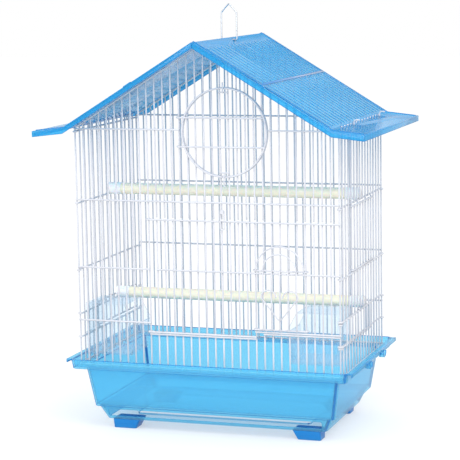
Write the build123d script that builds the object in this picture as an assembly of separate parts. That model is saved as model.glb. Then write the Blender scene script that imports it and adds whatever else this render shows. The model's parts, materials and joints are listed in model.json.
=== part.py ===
from build123d import *
import os
from math import atan, cos, pi, sqrt

# Wire bird cage on a plastic tray with a gabled plastic roof.
# Millimetres. X is the cage's width, -Y its front, Z up from the floor.

# Mesh of the four walls
gaps_x = 32
gaps_y = 15
pitch_x = 10.5
pitch_y = 13.8
upright_d = 2.0
rail_d = 2.2
thin_d = 1.8
wire_sides = 8
trim_sides = 6
weld_gap = 0.02
overrun = 0.8
eye_clearance = 0.1

# Clearances of the doors
door_gap = 0.42
hinge_clearance = 0.4
sill_gap = 0.4
door_wire_step = 0.5

# Stand: four feet under a skirt with a long window front and back
foot_h = 12.4
foot_inner_x = 100.0
foot_outer_x = 136.0
foot_depth = 27.0
foot_splay = 3.0
foot_corner_r = 3.0
skirt_h = 17.3
skirt_top_x = 152.0
skirt_top_y = 92.0
skirt_taper = 8.0
skirt_wall = 2.2
window_end_w = 4.5
window_sill_h = 4.0
window_header_h = 3.7
window_corner_r = 2.0

# Tray: basin, ledge for the wires, collar band and side flanges
tray_wall = 2.0
basin_h = 51.3
basin_bottom_x = 156.5
basin_bottom_y = 94.5
basin_flare = 8.0
tray_corner_r = 7.0
band_h = 10.0
band_lean = 1.5
band_clearance_x = 4.2
band_clearance_y = 6.1
flange_w = 6.0
flange_half_y = 113.0
flange_lip_h = 4.5
lug_r = 8.0
lug_wall = 2.4
lug_depth = 7.0
lug_y = 35.0

# Heights of the wires above the ledge
bottom_rail_up = 3.0
sill_up = 45.4
lift_sill_step = 6.2
front_rail4_up = 59.4
rail3_up = 126.2
door_top_drop = 22.6
rail2_up = 210.6
front_top_step = 3.9
side_sill_up = 37.6
side_rail4_up = 67.0
side_rail3_up = 121.7
side_rail2_up = 206.0
side_top_up = 294.6

# Roof
eave_over_top = 7.9
roof_rise = 103.0
roof_t = 2.0
roof_half_y = 141.8
roof_seat = 0.3
ridge_gap = 0.3
wing_w = 40.0
wing_drop = 4.5
lip_h = 5.0
lip_t = 2.0
strip_w = 8.0
bead_w = 1.6
bead_h = 1.0
slat_count = 20
slat_w = 2.6
slat_h = 0.8
slat_start = 14.0
slat_end_gap = 5.0
cross_rib_x = 84.0
cross_rib_w = 3.0
cross_rib_h = 1.4
tab_w = 9.0
tab_l = 5.0
slot_clearance = 0.6
slot_cut_h = 12.0
tip_proud = 0.8
hook_y = (-48.0, 80.0)
hook_rise = 5.0
hook_reach = 7.0
hook_bend_r = 3.0

# Front door, counted in uprights from the left corner
door_first = 9
lift_first = 22
lift_last = 28
lift_bottom_up = 57.4
lift_top_up = 129.8
arch_outer_r = 30.0
arch_inner_r = 21.0
heart_tip_up = 70.0
heart_top_up = 107.0
heart_half_w = 23.0
heart_lobe_r = 9.4

# Round hatch in the front gable
hatch_r = 53.5
hatch_drop = 2.9
hatch_post = 13
hatch_first = 14
hatch_last = 23
hatch_hinge_rise = 17.6
hatch_bar_gap = 0.35
tab_bar_inset = 4.0
stub_top_out = 7.0
stub_bottom_out = 11.0

# Latch link over the front door
latch_post = 18
stud_d = 2.4
stud_rise = 12.1
stud_head_d = 5.0
stud_head_t = 1.0
stud_fit = 0.06
link_wire_d = 1.6
link_w = 6.5
link_h = 25.5

# Side doors, counted in uprights from the front corner
nest_first = 4
nest_last = 11
cup_door_right_first = 0
cup_door_right_last = 10
cup_door_left_first = 4
cup_door_left_last = 14
cup_door_h = 30.0
cup_door_up = 40.2

# Feeding cups
cup_wall = 1.6
cup_depth = 66.0
cup_half_y = 29.0
cup_centre_y = -68.0
cup_floor_up = 15.0
cup_lip_h = 38.0
cup_h = 64.0
cup_hood_back = 14.0
cup_floor_inset = 5.0
cup_edge_gap = 0.8
cup_hook_gaps = (1, 2)
cup_hook_w = 8.0
cup_hook_t = 1.5
cup_hook_drop = 5.0
cup_corner_r = 4.0

# Perches
perch_d = 14.2
perch_cap_d = 15.4
perch_cap_l = 18.0
perch_cap_end = 6.0
perch_fit = 0.05
perch_wall_gap = 0.3
perch_notch = 2.5
perch_upper_y = 0.0
perch_lower_y = 20.0

# Hanger
hanger_d = 2.0
hanger_half_w = 10.0
hanger_shoulder_up = 34.0
hanger_bar_up = 40.0
hanger_tip_up = 45.0
hanger_below_ridge = 3.4
hanger_pin_end = 1.0
hanger_bend_r = 1.5
hanger_fit = 0.07

# Places worked out from the sizes above
half_x = gaps_x * pitch_x / 2
half_y = gaps_y * pitch_y / 2
upright_r = upright_d / 2
rail_r = rail_d / 2
thin_r = thin_d / 2
weld_offset = upright_r + rail_r + weld_gap
door_offset = upright_r + rail_r + door_gap
front_y = -half_y
front_rail_y = -half_y - weld_offset
door_bar_y = -half_y - (door_gap - weld_gap)
door_rail_y = -half_y - door_offset
lift_rail_y = door_bar_y - door_offset
lift_bar_y = lift_rail_y - weld_offset
lift_trim_y = lift_bar_y - upright_r - thin_r - weld_gap
lift_arch_y = lift_rail_y - rail_r - thin_r - weld_gap

skirt_z = foot_h
window_half_x = skirt_top_x - skirt_taper - window_end_w
window_h = skirt_h - window_sill_h - window_header_h
tray_z = skirt_z + skirt_h
basin_top_z = tray_z + basin_h
ledge_z = basin_top_z + tray_wall
band_top_z = ledge_z + band_h
band_x = half_x + weld_offset + rail_r + band_clearance_x + tray_wall
band_y = half_y + weld_offset + rail_r + band_clearance_y + tray_wall
basin_top_x = basin_bottom_x + basin_flare
basin_top_y = basin_bottom_y + basin_flare

front_top_up = side_top_up + front_top_step
fold_x = half_x + upright_r
fold_z = ledge_z + side_top_up + eave_over_top
ridge_z = fold_z + roof_rise
roof_slope = roof_rise / fold_x
roof_cos = cos(atan(roof_slope))
wing_x = fold_x + wing_w
hatch_x = (latch_post + 0.5 - gaps_x / 2) * pitch_x
hatch_z = ledge_z + front_top_up - hatch_drop
sill_z = ledge_z + sill_up
door_bottom_z = sill_z + rail_d + sill_gap
lift_sill_z = sill_z + lift_sill_step
lift_door_bottom_z = door_bottom_z + lift_sill_step
door_top_z = ledge_z + rail2_up - door_top_drop
stud_x = (latch_post - gaps_x / 2) * pitch_x + upright_r + weld_gap + stud_d / 2
stud_z = door_top_z + stud_rise
side_sill_z = ledge_z + side_sill_up
side_rail4_z = ledge_z + side_rail4_up
nest_bottom_z = ledge_z + side_rail3_up + rail_d + door_wire_step
nest_top_z = ledge_z + side_rail2_up - rail_d - door_wire_step
hanger_z = ridge_z - hanger_below_ridge


def front_x(number):
    """X of an upright of the front or back wall."""
    return (number - gaps_x / 2) * pitch_x


def side_y(number):
    """Y of an upright of a side wall."""
    return (number - gaps_y / 2) * pitch_y


def roof_top(x):
    """Height of the roof's upper face over x."""
    return ridge_z - roof_slope * abs(x)


def roof_under(x):
    """Height of the roof's lower face over x."""
    return roof_top(x) - roof_t / roof_cos


def wire(start, end, thickness, sides=wire_sides):
    """Straight wire from start to end with its flats square to the mesh."""
    start, end = Vector(*start), Vector(*end)
    run = end - start
    across = Vector(1, 0, 0) if abs(run.Y) > abs(run.X) + abs(run.Z) else Vector(0, 1, 0)
    section = RegularPolygon(thickness / 2, sides, major_radius=False, rotation=180 / sides)
    return extrude(Plane(origin=start, x_dir=across, z_dir=run) * section, amount=run.length)


def eye(x, y, z, clearance, thickness):
    """Curled end of a wire: an eight-sided ring round an upright."""
    hole_r = upright_r + clearance
    turn = 180 / wire_sides
    outer = RegularPolygon(hole_r + thickness, wire_sides, major_radius=False, rotation=turn)
    inner = RegularPolygon(hole_r, wire_sides, major_radius=False, rotation=turn)
    return extrude(Plane((x, y, z - thickness / 2)) * (outer - inner), amount=thickness)


def bent_wire(path, thickness, sides=wire_sides):
    """Wire swept along a smooth path that starts at position 0."""
    section = RegularPolygon(thickness / 2, sides, major_radius=False, rotation=180 / sides)
    return sweep(Plane(path @ 0, x_dir=(0, 1, 0), z_dir=path % 0) * section, path=path)


def solids_of(shapes):
    """Flat list of the solids in a list of shapes."""
    return [solid for shape in shapes for solid in shape.solids()]


def write(node, shapes):
    """Write one sub-part's solids to its own file."""
    export_step(Compound(solids_of(shapes)), os.path.join("parts", node + ".step"))


def rounded_box(half_width, half_depth, z, corner_r):
    """Rounded rectangle, centred, at height z."""
    return Plane.XY.offset(z) * RectangleRounded(2 * half_width, 2 * half_depth, corner_r)


def tapered_ring(low, high, z_low, z_high, wall, corner_r):
    """Wall that leans evenly from a low rounded rectangle to a high one."""
    outer = loft([rounded_box(*low, z_low, corner_r), rounded_box(*high, z_high, corner_r)])
    low_in = (low[0] - wall, low[1] - wall)
    high_in = (high[0] - wall, high[1] - wall)
    inner_r = corner_r - wall / 2
    return outer - loft([rounded_box(*low_in, z_low, inner_r), rounded_box(*high_in, z_high, inner_r)])


def stand_feet():
    """Four tapered feet that splay outwards to the floor."""
    centre_x = (foot_inner_x + foot_outer_x) / 2
    half_w = (foot_outer_x - foot_inner_x) / 2
    centre_y = skirt_top_y - skirt_taper - foot_depth / 2
    feet = []
    for side in (-1, 1):
        for end in (-1, 1):
            top = Plane((side * centre_x, end * centre_y, foot_h)) * RectangleRounded(
                2 * half_w, foot_depth, foot_corner_r)
            low = Plane((side * (centre_x + foot_splay), end * centre_y, 0)) * RectangleRounded(
                2 * (half_w - foot_splay), foot_depth - 2 * foot_splay, foot_corner_r)
            feet.append(loft([low, top]))
    return feet


def stand_skirt():
    """Skirt between the feet and the tray, with a window front and back."""
    low = (skirt_top_x - skirt_taper, skirt_top_y - skirt_taper)
    ring = tapered_ring(low, (skirt_top_x, skirt_top_y), skirt_z, tray_z, skirt_wall, tray_corner_r)
    floor_in = rounded_box(low[0] - foot_depth - skirt_wall, low[1] - foot_depth - skirt_wall, skirt_z,
                           tray_corner_r)
    floor_out = rounded_box(low[0] - skirt_wall / 2, low[1] - skirt_wall / 2, skirt_z, tray_corner_r)
    ring += extrude(floor_out - floor_in, amount=skirt_wall)
    window_z = skirt_z + window_sill_h + window_h / 2
    opening = Plane.XZ.offset(-skirt_top_y) * Pos(0, window_z) * RectangleRounded(
        2 * window_half_x, window_h, window_corner_r)
    return ring - extrude(opening, amount=2 * skirt_top_y)


def side_lug(side, y):
    """Half-round loop that hangs under a side flange."""
    outer_x = band_x + band_lean + flange_w
    profile = Circle(lug_r) - Circle(lug_r - lug_wall)
    above = Pos(0, lug_r) * Rectangle(2 * (lug_r + lug_wall), 2 * lug_r)
    start = outer_x - flange_w / 2 if side > 0 else -outer_x + flange_w / 2 - lug_depth
    plane = Plane(origin=(start, y, band_top_z - tray_wall), x_dir=(0, 1, 0), z_dir=(1, 0, 0))
    return extrude(plane * (profile - above), amount=lug_depth)


def tray():
    """Tray moulding: flared basin, ledge, collar band, flanges and lugs."""
    low = (basin_bottom_x, basin_bottom_y)
    high = (basin_top_x, basin_top_y)
    basin = tapered_ring(low, high, tray_z, basin_top_z, tray_wall, tray_corner_r)
    basin += extrude(rounded_box(*low, tray_z, tray_corner_r), amount=tray_wall)
    ledge = rounded_box(band_x, band_y, basin_top_z, tray_corner_r)
    ledge -= rounded_box(basin_top_x - tray_wall, basin_top_y - tray_wall, basin_top_z,
                         tray_corner_r - tray_wall / 2)
    band = tapered_ring((band_x, band_y), (band_x + band_lean, band_y + band_lean), basin_top_z,
                        band_top_z, tray_wall, tray_corner_r)
    body = basin + extrude(ledge, amount=tray_wall) + band
    for side in (-1, 1):
        inner_x = band_x + band_lean - tray_wall / 2
        width = flange_w + tray_wall / 2
        plate = Pos(side * (inner_x + width / 2), 0, band_top_z - tray_wall / 2) * Box(
            width, 2 * flange_half_y, tray_wall)
        lip = Pos(side * (inner_x + width - tray_wall / 2), 0, band_top_z - flange_lip_h / 2) * Box(
            tray_wall, 2 * flange_half_y, flange_lip_h)
        body += plate + lip
        for y in (-lug_y, lug_y):
            body += side_lug(side, y)
    return body


def gable_top(x):
    """Top end of an upright under the slope of the roof."""
    return roof_under(abs(x) + upright_r) - roof_seat


def ring_cut(x, radius, reach):
    """Half the height that a ring cuts out of an upright at x."""
    across = abs(x - hatch_x) + reach
    return sqrt(radius ** 2 - across ** 2)


def front_uprights():
    """Fixed uprights of the front wall, cut at the doorway and at the hatch."""
    wires = []
    for number in range(gaps_x + 1):
        x = front_x(number)
        spans = [(ledge_z + weld_gap, gable_top(x))]
        if door_first < number < gaps_x:
            sill = lift_sill_z if number > lift_first else sill_z
            spans = [(ledge_z + weld_gap, sill + overrun),
                     (door_top_z + rail_r + overrun + door_wire_step, gable_top(x))]
        if hatch_first <= number <= hatch_last:
            cut = ring_cut(x, hatch_r + hatch_bar_gap, -upright_r)
            low, high = spans.pop()
            spans += [(low, hatch_z - cut), (hatch_z + cut, high)]
        wires += [wire((x, front_y, low), (x, front_y, high), upright_d) for low, high in spans]
    return wires


def front_rails():
    """Fixed horizontal wires welded across the outside of the front wall."""
    left, right = front_x(0) - overrun, front_x(gaps_x) + overrun
    post = front_x(door_first) + upright_r
    sill_end = front_x(lift_first) + overrun
    lift_sill_start = front_x(lift_first + 1) - overrun
    top_z = ledge_z + front_top_up
    ring_x = sqrt((hatch_r + rail_r + hinge_clearance) ** 2 - (top_z - hatch_z) ** 2)
    top_left = front_x(hatch_post) + upright_r
    runs = [(left, right, ledge_z + bottom_rail_up), (left, post, ledge_z + front_rail4_up),
            (front_x(door_first) - overrun, sill_end, sill_z), (lift_sill_start, right, lift_sill_z),
            (left, post, ledge_z + rail3_up), (left, right, ledge_z + rail2_up),
            (left, top_left, top_z), (hatch_x + ring_x + rail_r, right, top_z)]
    return [wire((a, front_rail_y, z), (b, front_rail_y, z), rail_d) for a, b, z in runs]


def gable_wires(y):
    """Pair of sloping wires under the roof at one end of the cage."""
    ridge_axis_z = roof_under(0) - roof_seat - rail_r / roof_cos
    low_z = ledge_z + front_top_up + rail_r * (1 + roof_cos) + weld_gap
    low_x = (ridge_axis_z - low_z) / roof_slope
    pair = []
    for side in (-1, 1):
        past_ridge = (-side * rail_d, y, ridge_axis_z + roof_slope * rail_d)
        run = wire(past_ridge, (side * low_x, y, low_z), rail_d)
        middle = Pos(side * (fold_x / 2 + weld_gap), y, ridge_axis_z)
        pair.append(run & (middle * Box(fold_x, 2 * rail_d, 2 * roof_rise)))
    return pair


def hatch_seat():
    """Fixed ring behind the uprights that frames the hatch."""
    return ring_wire(hatch_x, -half_y + weld_offset, hatch_z, hatch_r, rail_d)


def ring_wire(x, y, z, radius, thickness, sides=wire_sides):
    """Full ring of wire in an upright plane that faces the front."""
    section = RegularPolygon(thickness / 2, sides, major_radius=False, rotation=180 / sides)
    plane = Plane(origin=(x + radius, y, z), x_dir=(1, 0, 0), z_dir=(0, 0, 1))
    return revolve(plane * section, axis=Axis((x, y, z), (0, 1, 0)))


def back_uprights():
    """Uprights of the back wall."""
    wires = []
    for number in range(gaps_x + 1):
        x = front_x(number)
        wires.append(wire((x, half_y, ledge_z + weld_gap), (x, half_y, gable_top(x)), upright_d))
    return wires


def back_rails():
    """Horizontal wires across the outside of the back wall."""
    end = half_x + overrun
    y = half_y + weld_offset
    heights = (bottom_rail_up, front_rail4_up, rail3_up, rail2_up, front_top_up)
    return [wire((-end, y, ledge_z + up), (end, y, ledge_z + up), rail_d) for up in heights]


def side_uprights(side, first, last):
    """Uprights of one side wall, cut at the cup doorway, with tips through the roof."""
    x = side * half_x
    top = roof_top(half_x) + tip_proud
    wires = []
    for number in range(1, gaps_y):
        y = side_y(number)
        spans = [(ledge_z + weld_gap, top)]
        if first < number < last:
            spans = [(ledge_z + weld_gap, side_sill_z + overrun), (side_rail4_z - overrun, top)]
        if side > 0 and nest_first < number < nest_last:
            low, high = spans.pop()
            spans += [(low, ledge_z + side_rail3_up + overrun), (ledge_z + side_rail2_up - overrun, high)]
        wires += [wire((x, y, low), (x, y, high), upright_d) for low, high in spans]
    return wires


def side_rail(side, up, inside, curled=True):
    """One horizontal wire of a side wall, curled round both corner wires."""
    offset = -weld_offset if inside else weld_offset
    x = side * (half_x + offset)
    z = ledge_z + up
    if not curled:
        return wire((x, -half_y - overrun, z), (x, half_y + overrun, z), rail_d)
    rail = wire((x, -half_y, z), (x, half_y, z), rail_d)
    for y in (-half_y, half_y):
        rail += eye(side * half_x, y, z, eye_clearance, rail_d)
    return rail


def side_rails(side):
    """Horizontal wires of one side wall; the inner ones carry cup and perches."""
    outer = [side_rail(side, side_rail3_up, False), side_rail(side, side_top_up, False),
             side_rail(side, bottom_rail_up, False, curled=False)]
    inner = [side_rail(side, up, True) for up in (side_sill_up, side_rail4_up, side_rail2_up)]
    return outer + inner


def roof_section(side, grow_top, grow_under, x_from, x_to):
    """Closed section of one roof panel between two distances from the ridge."""
    top = []
    under = []
    marks = sorted({x_from, x_to} | ({fold_x} if x_from < fold_x < x_to else set()))
    for x in marks:
        z = roof_top(x) if x <= fold_x else fold_z - wing_drop * (x - fold_x) / wing_w
        top.append((side * x, z + grow_top))
        under.append((side * x, z - roof_t / roof_cos - grow_under))
    return make_face(Polyline(*top, *reversed(under), close=True))


def roof_strip(side, y, width, grow_top, grow_under, x_from, x_to):
    """Roof section pushed out along Y by width about y."""
    face = Plane.XZ.offset(-(y - width / 2)) * roof_section(side, grow_top, grow_under, x_from, x_to)
    return extrude(face, amount=-width)


def roof_panel(side):
    """One roof panel: slope, eave wing, edge lips, slats, cross rib and openings."""
    start = ridge_gap / 2
    panel = roof_strip(side, 0, 2 * roof_half_y, 0, 0, start, wing_x)
    for end in (-1, 1):
        panel += roof_strip(side, end * (roof_half_y - lip_t / 2), lip_t, 0, lip_h, start, wing_x)
        panel += roof_strip(side, end * (roof_half_y - strip_w), bead_w, bead_h, 0, start, wing_x - lip_t)
    panel += roof_strip(side, 0, 2 * roof_half_y, 0, lip_h, wing_x - lip_t, wing_x)
    slat_room = 2 * (roof_half_y - strip_w)
    slat_pitch = slat_room / slat_count
    slats = []
    for number in range(slat_count):
        y = (number - (slat_count - 1) / 2) * slat_pitch
        slats.append(roof_strip(side, y, slat_w, slat_h, 0, slat_start, fold_x - slat_end_gap))
    panel += slats
    rib_from = cross_rib_x - cross_rib_w / 2
    panel += roof_strip(side, 0, slat_room, cross_rib_h, 0, rib_from, rib_from + cross_rib_w)
    tab_y = -(roof_half_y - strip_w / 2)
    panel += roof_strip(side, tab_y, tab_l, cross_rib_h, 0, cross_rib_x - tab_w / 2, cross_rib_x + tab_w / 2)
    return panel - roof_openings(side)


def roof_openings(side):
    """Slots for the wall's tips and hooks, and the hanger's hole."""
    slot_w = upright_d + 2 * slot_clearance
    cuts = []
    for number in range(1, gaps_y):
        place = Pos(side * half_x, side_y(number), roof_top(half_x) - roof_t)
        cuts.append(place * Box(slot_w, slot_w, slot_cut_h))
    for y in hook_y:
        place = Pos(side * (hook_x() + hook_reach / 2), y, fold_z - roof_t)
        cuts.append(place * Box(hook_reach + slot_w, slot_w, slot_cut_h))
    hole = Plane(origin=(0, 0, hanger_z), x_dir=(0, 1, 0), z_dir=(side, 0, 0)) * Circle(hanger_hole_r())
    cuts.append(extrude(hole, amount=hanger_half_w))
    return cuts


def hook_x():
    """X of the leg of a roof hook, outside the side wall's top wire."""
    return half_x + weld_offset + rail_r + upright_r + weld_gap


def roof_hooks():
    """Wire hooks from the side walls that come up through the roof and turn out."""
    hooks = []
    for side in (-1, 1):
        for y in hook_y:
            low = (side * hook_x(), y, ledge_z + side_top_up - rail_r)
            high = (side * hook_x(), y, fold_z + hook_rise)
            out = (side * (hook_x() + hook_reach), y, fold_z + hook_rise)
            path = FilletPolyline(low, high, out, radius=hook_bend_r)
            hooks.append(bent_wire(path, upright_d))
    return hooks


def hanger_hole_r():
    """Radius of the holes that the hanger's ends turn in."""
    return hanger_d / 2 / cos_half_side() + hanger_fit


def cos_half_side():
    """Flat radius over corner radius of a wire's section."""
    return cos(pi / wire_sides)


def perch_rod(y, z):
    """Plain dowel between the two end caps."""
    end = perch_end_x() - perch_cap_end - perch_fit
    plane = Plane(origin=(-end, y, z), z_dir=(1, 0, 0))
    return extrude(plane * Circle(perch_d / 2), amount=2 * end)


def perch_end_x():
    """X of the outer end of a perch cap."""
    return half_x - upright_r - perch_wall_gap


def perch_caps(y, z):
    """End caps with a step that sits on an inner wire of the side wall."""
    caps = []
    step_x = half_x - weld_offset - rail_r - eye_clearance
    for side in (-1, 1):
        plane = Plane(origin=(side * perch_end_x(), y, z), z_dir=(-side, 0, 0))
        cap = extrude(plane * Circle(perch_cap_d / 2), amount=perch_cap_l)
        bore = Plane(origin=(side * (perch_end_x() - perch_cap_end), y, z), z_dir=(-side, 0, 0))
        cap -= extrude(bore * Circle(perch_d / 2 + perch_fit), amount=perch_cap_l)
        notch_top = z - perch_cap_d / 2 + perch_notch
        cut_h = perch_cap_d
        cap -= Pos(side * (step_x + cut_h / 2), y, notch_top - cut_h / 2) * Box(
            cut_h, 2 * perch_cap_d, cut_h)
        caps.append(cap)
    return caps


def perch_z(rail_up):
    """Centre height of a perch whose caps sit on an inner side wire."""
    return ledge_z + rail_up + rail_r + weld_gap + perch_cap_d / 2 - perch_notch


def front_door_bars():
    """Uprights of the front door, cut short where the lift door is."""
    wires = []
    for number in range(door_first + 1, gaps_x):
        x = front_x(number)
        low = (lift_door_bottom_z if number > lift_first else door_bottom_z) - overrun
        if lift_first < number < lift_last:
            low = ledge_z + rail3_up - overrun
        wires.append(wire((x, door_bar_y, low), (x, door_bar_y, door_top_z + overrun), upright_d))
    return wires


def front_door_rails():
    """Horizontal wires of the front door, curled round its hinge upright."""
    hinge = front_x(door_first)
    first = front_x(door_first + 1) - overrun
    step = front_x(lift_first) + upright_r
    far = front_x(gaps_x) + rail_d
    top = wire((hinge, door_rail_y, door_top_z), (far, door_rail_y, door_top_z), rail_d)
    bottom = wire((hinge, door_rail_y, door_bottom_z), (step, door_rail_y, door_bottom_z), rail_d)
    rails = []
    for rail, z in ((top, door_top_z), (bottom, door_bottom_z)):
        rails.append(rail + eye(hinge, front_y, z, hinge_clearance, rail_d))
    rail3_z = ledge_z + rail3_up
    rails.append(wire((first, door_rail_y, rail3_z), (far, door_rail_y, rail3_z), rail_d))
    low_z = lift_door_bottom_z
    rails.append(wire((step - upright_d, door_rail_y, low_z), (far, door_rail_y, low_z), rail_d))
    return rails


def guided_rail(y_guides, x_guides, z):
    """Horizontal wire with an eye round a guide upright at each end."""
    rail = wire((x_guides[0], y_guides - door_offset, z), (x_guides[1], y_guides - door_offset, z), rail_d)
    for x in x_guides:
        rail += eye(x, y_guides, z, hinge_clearance, rail_d)
    return rail


def lift_door_rails():
    """Top and bottom wires of the lift door, with eyes on its two guides."""
    guides = (front_x(lift_first), front_x(lift_last))
    return [guided_rail(door_bar_y, guides, ledge_z + up) for up in (lift_bottom_up, lift_top_up)]


def lift_door_bars():
    """Five uprights of the lift door."""
    wires = []
    for number in range(lift_first + 1, lift_last):
        x = front_x(number)
        low, high = ledge_z + lift_bottom_up - overrun, ledge_z + lift_top_up + overrun
        wires.append(wire((x, lift_bar_y, low), (x, lift_bar_y, high), upright_d))
    return wires


def lift_door_arches():
    """Half-round arches of the lift door: the outer on its top wire, the inner on two bars."""
    centre_x = front_x((lift_first + lift_last) / 2)
    foot_z = ledge_z + lift_top_up
    arches = []
    for radius, y in ((arch_outer_r, lift_arch_y), (arch_inner_r, lift_trim_y)):
        path = CenterArc((0, 0), radius, 0, 180)
        plane = Plane(origin=(centre_x, y, foot_z), x_dir=(1, 0, 0), z_dir=(0, -1, 0))
        arches.append(bent_wire(plane * path, thin_d, sides=trim_sides))
    return arches


def lift_door_heart():
    """Heart-shaped wire on the lift door, as two lobes that meet at the tip."""
    centre_x = front_x((lift_first + lift_last) / 2)
    lobe_x = heart_half_w - heart_lobe_r
    lobe_z = heart_top_up - heart_lobe_r
    lobes = []
    for side in (-1, 1):
        tip = (side * thin_r, heart_tip_up)
        outer = (side * heart_half_w, lobe_z)
        path = Line(tip, outer) + ThreePointArc(
            outer, (side * lobe_x, heart_top_up), (side * (lobe_x - heart_lobe_r), lobe_z))
        plane = Plane(origin=(centre_x, lift_trim_y, ledge_z), x_dir=(1, 0, 0), z_dir=(0, -1, 0))
        lobes.append(heart_half(plane, path))
    return lobes


def heart_half(plane, path):
    """One lobe of the heart with a crisp corner where the straight meets it."""
    outline = plane * path
    start = outline.edges().sort_by(Axis.Z)[0]
    section = RegularPolygon(thin_r, trim_sides, major_radius=False, rotation=180 / trim_sides)
    wire_path = Wire(outline.edges())
    return sweep(Plane(start @ 0, x_dir=(0, 1, 0), z_dir=start % 0) * section, path=wire_path,
                 transition=Transition.RIGHT)


def hatch_ring():
    """Moving ring of the hatch with its two hinge wires."""
    ring = ring_wire(hatch_x, door_rail_y, hatch_z, hatch_r, rail_d)
    post = front_x(hatch_post)
    for rise in (-hatch_hinge_rise, hatch_hinge_rise):
        z = hatch_z + rise
        reach = sqrt(hatch_r ** 2 - rise ** 2)
        ring += wire((post, door_rail_y, z), (hatch_x + reach, door_rail_y, z), rail_d)
        ring += eye(post, front_y, z, hinge_clearance, rail_d)
    return ring


def hatch_bars():
    """Uprights inside the hatch ring."""
    wires = []
    for number in range(hatch_first, hatch_last + 1):
        x = front_x(number)
        half = ring_cut(x, hatch_r - hatch_bar_gap, upright_r)
        wires.append(wire((x, door_bar_y, hatch_z - half), (x, door_bar_y, hatch_z + half), upright_d))
    return wires


def hatch_tabs():
    """Finger tabs of the hatch: a short bar and a stub, top and bottom."""
    pieces = []
    stub_y = door_rail_y - rail_r - thin_r - weld_gap
    half_bar = pitch_x / 2 + overrun
    for up, out in ((1, stub_top_out), (-1, stub_bottom_out)):
        z = hatch_z + up * (hatch_r - rail_r - tab_bar_inset)
        left, right = hatch_x - half_bar, hatch_x + half_bar
        pieces.append(wire((left, door_rail_y, z), (right, door_rail_y, z), thin_d))
        ends = sorted((z - up * thin_r, hatch_z + up * (hatch_r + out)))
        pieces.append(wire((hatch_x, stub_y, ends[0]), (hatch_x, stub_y, ends[1]), thin_d))
    return pieces


def latch_stud():
    """Headed stud that the latch link hangs on."""
    head_y = link_y() - link_wire_d / 2 - hinge_clearance
    shank = Plane(origin=(stud_x, front_y + upright_r, stud_z), z_dir=(0, -1, 0)) * Circle(stud_d / 2)
    stud = extrude(shank, amount=front_y + upright_r - head_y)
    head = Plane(origin=(stud_x, head_y, stud_z), z_dir=(0, -1, 0)) * Circle(stud_head_d / 2)
    return stud + extrude(head, amount=stud_head_t)


def link_y():
    """Y of the latch link's plane, clear of the front door."""
    return door_rail_y - rail_r - hinge_clearance - link_wire_d / 2


def latch_link():
    """Oval wire link that hangs from the stud over the door's top wire."""
    back_y = link_y() + link_wire_d / 2
    middle_z = stud_z + stud_d / 2 + stud_fit + link_wire_d - link_h / 2
    plane = Plane(origin=(stud_x, back_y, middle_z), x_dir=(1, 0, 0), z_dir=(0, -1, 0))
    outer = SlotOverall(link_h, link_w, rotation=90)
    inner = SlotOverall(link_h - 2 * link_wire_d, link_w - 2 * link_wire_d, rotation=90)
    return extrude(plane * (outer - inner), amount=link_wire_d)


def nest_door_rails():
    """Top and bottom wires of the nest door, curled round its hinge upright."""
    x = half_x + door_offset
    far = side_y(nest_last) + rail_d
    rails = []
    for z in (nest_bottom_z, nest_top_z):
        rail = wire((x, side_y(nest_first), z), (x, far, z), rail_d)
        rails.append(rail + eye(half_x, side_y(nest_first), z, hinge_clearance, rail_d))
    return rails


def nest_door_bars():
    """Uprights of the nest door."""
    x = half_x + door_gap - weld_gap
    wires = []
    for number in range(nest_first + 1, nest_last):
        y = side_y(number)
        wires.append(wire((x, y, nest_bottom_z - overrun), (x, y, nest_top_z + overrun), upright_d))
    return wires


def cup_door_rails(side, first, last):
    """Two wires of a cup door, curled round the upright that it hinges on."""
    x = side * (half_x + door_offset)
    far = side_y(last) + rail_d
    rails = []
    for z in (ledge_z + cup_door_up, ledge_z + cup_door_up + cup_door_h):
        rail = wire((x, side_y(first), z), (x, far, z), rail_d)
        rails.append(rail + eye(side * half_x, side_y(first), z, hinge_clearance, rail_d))
    return rails


def cup_door_bars(side, first, last):
    """Uprights of a cup door, outside its two wires."""
    x = side * (half_x + door_offset + weld_offset)
    low = ledge_z + cup_door_up - overrun
    high = ledge_z + cup_door_up + cup_door_h + overrun
    wires = []
    for number in range(first + 1, last):
        wires.append(wire((x, side_y(number), low), (x, side_y(number), high), upright_d))
    return wires


def cup(side):
    """Hooded feeding cup that hooks over the inner sill wire of a side wall."""
    back_x = half_x - weld_offset - rail_r - cup_edge_gap
    front = back_x - cup_depth
    floor_z = ledge_z + cup_floor_up
    lip_z, top_z = floor_z + cup_lip_h, floor_z + cup_h
    hood = front + cup_hood_back
    outline = [(back_x, floor_z), (front + cup_floor_inset, floor_z), (front, lip_z), (hood, top_z),
               (back_x, top_z)]
    mouth = [(front - cup_hood_back, lip_z), (front + cup_hood_back / 2, lip_z),
             (hood + cup_hood_back / 2, top_z - cup_wall), (hood - cup_hood_back, top_z - cup_wall)]
    body = cup_slab(side, outline, 0, cup_half_y)
    body = fillet(body.edges().filter_by(Axis.Z), cup_corner_r)
    body -= cup_slab(side, outline, -cup_wall, cup_half_y - cup_wall)
    body -= cup_slab(side, mouth, 0, cup_half_y - cup_wall)
    return body + cup_hooks(side, back_x)


def cup_slab(side, outline, grow, half_width):
    """Outline in X and Z, grown evenly, pushed out along Y about the cup's middle."""
    face = make_face(Polyline(*[(side * x, z) for x, z in outline], close=True))
    if grow:
        face = offset(face, amount=grow, kind=Kind.INTERSECTION)
    plane = Plane.XZ.offset(-(cup_centre_y - half_width))
    return extrude(plane * face, amount=-2 * half_width)


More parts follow.
